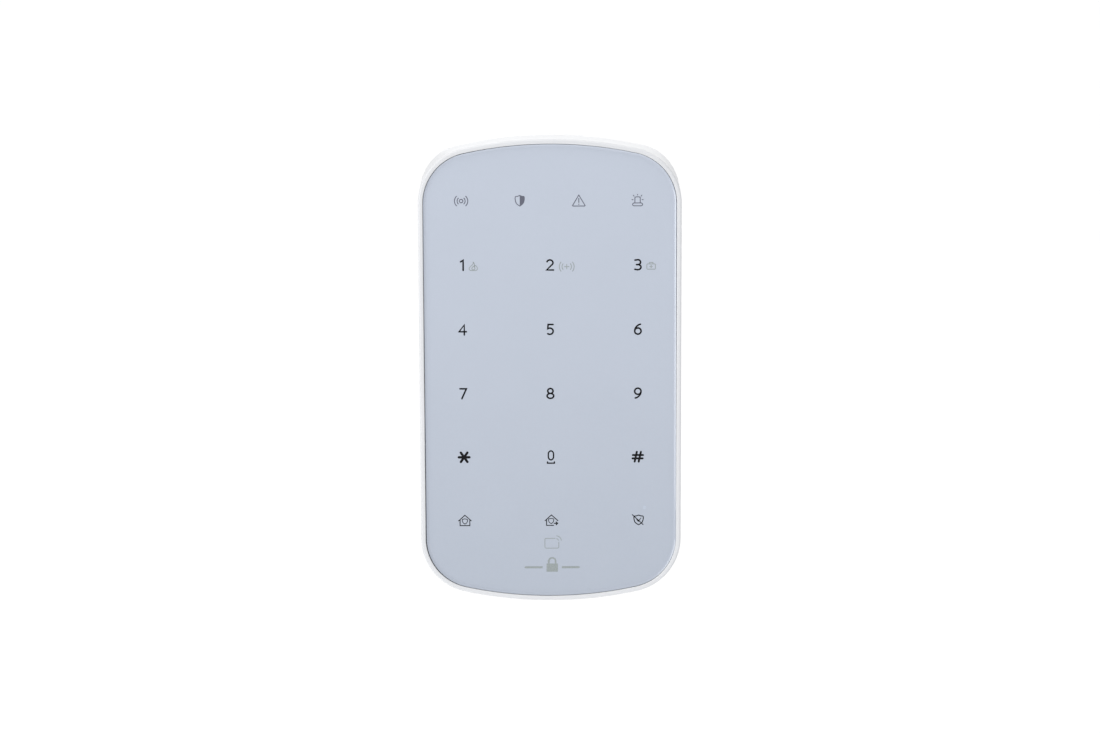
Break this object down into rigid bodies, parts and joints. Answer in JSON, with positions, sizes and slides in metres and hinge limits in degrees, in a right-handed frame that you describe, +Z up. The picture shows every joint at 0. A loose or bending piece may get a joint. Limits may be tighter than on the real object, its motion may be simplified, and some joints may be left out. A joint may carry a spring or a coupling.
{
  "type": "alarm keypad panel",
  "caption": "Wall-mounted touch keypad for an alarm: a flat glass front in a slim white case that hangs on a wall bracket, with cells behind a hinged rear door.",
  "frame": {"origin": "middle of the wall bracket's back face, on the wall", "axes": "+Z up, +Y into the wall, +X to the right of someone facing the keys"},
  "size_m": [0.084, 0.027, 0.15],
  "materials": {
    "white_shell": "satin white moulded plastic",
    "white_back": "fine-textured white plastic",
    "bracket_plastic": "fine-textured light grey plastic",
    "panel_glass": "pale blue-grey paint behind polished glass",
    "foam_tape": "black foam tape",
    "light_guide": "milky diffusing plastic",
    "board": "green solder mask",
    "chip": "black moulding",
    "socket": "cream plastic",
    "flex": "amber film",
    "tinned_steel": "tinned",
    "screw_steel": "zinc plated",
    "copper": "enamelled copper",
    "switch_black": "black nylon",
    "lamp": "clear yellowish lens",
    "cell": "printed shrink wrap with no lettering",
    "lead_red": "red insulation",
    "lead_black": "black insulation",
    "label": "silvered film, blank"
  },
  "bodies": {
    "bracket": {"wall_bracket": "bracket_plastic"},
    "lock_screw": {"lock_screw": "screw_steel"},
    "keypad": {"front_housing": "white_shell", "rear_case": "white_back", "glass_panel": "panel_glass", "glass_tape": "foam_tape", "light_guide": "light_guide", "touch_board": "board", "main_board": "board", "touch_chip": "chip", "card_reader_chip": "chip", "controller_chip": "chip", "light_sensor": "chip", "buzzer": "chip", "touch_socket": "socket", "main_socket": "socket", "flex_cable": "flex", "radio_shield": "tinned_steel", "clock_crystal": "tinned_steel", "supply_capacitor": "tinned_steel", "power_switch": "tinned_steel", "contact_plate_positive": "tinned_steel", "contact_plate_negative": "tinned_steel", "contact_plate_upper_link": "tinned_steel", "contact_plate_lower_link": "tinned_steel", "battery_spring_1": "tinned_steel", "battery_spring_2": "tinned_steel", "battery_spring_3": "tinned_steel", "door_hinge_pin": "screw_steel", "case_screw_1": "screw_steel", "case_screw_2": "screw_steel", "case_screw_3": "screw_steel", "case_screw_4": "screw_steel", "board_screw_1": "screw_steel", "board_screw_2": "screw_steel", "board_screw_3": "screw_steel", "board_screw_4": "screw_steel", "radio_antenna": "copper", "card_reader_coil": "copper", "tamper_switch": "switch_black", "status_led_1": "lamp", "status_led_2": "lamp", "status_led_3": "lamp", "status_led_4": "lamp", "key_led_1": "lamp", "key_led_2": "lamp", "key_led_3": "lamp", "key_led_4": "lamp", "battery_cell_1": "cell", "battery_cell_2": "cell", "battery_cell_3": "cell", "battery_lead_positive": "lead_red", "battery_lead_negative": "lead_black"},
    "tamper_plunger": {"tamper_plunger": "white_shell"},
    "power_knob": {"power_switch_knob": "switch_black"},
    "battery_door": {"battery_door": "white_back", "rating_label": "label"}
  },
  "joints": [
    {"name": "keypad_lift", "type": "slide", "parent": "bracket", "child": "keypad", "axis": [0, 0, 1], "range_m": [0, 0.007]},
    {"name": "lock_screw_travel", "type": "slide", "parent": "bracket", "child": "lock_screw", "axis": [0, 0, -1], "range_m": [0, 0.005]},
    {"name": "tamper_travel", "type": "slide", "parent": "keypad", "child": "tamper_plunger", "axis": [0, 1, 0], "range_m": [0, 0.0015], "stiffness_N_per_m": 150, "springref_m": 0.003},
    {"name": "power_slide", "type": "slide", "parent": "keypad", "child": "power_knob", "axis": [1, 0, 0], "range_m": [0, 0.0025]},
    {"name": "battery_door_hinge", "type": "hinge", "parent": "keypad", "child": "battery_door", "pos_m": [0, -0.0043, -0.014], "axis": [1, 0, 0], "range_deg": [0, 85]}
  ]
}
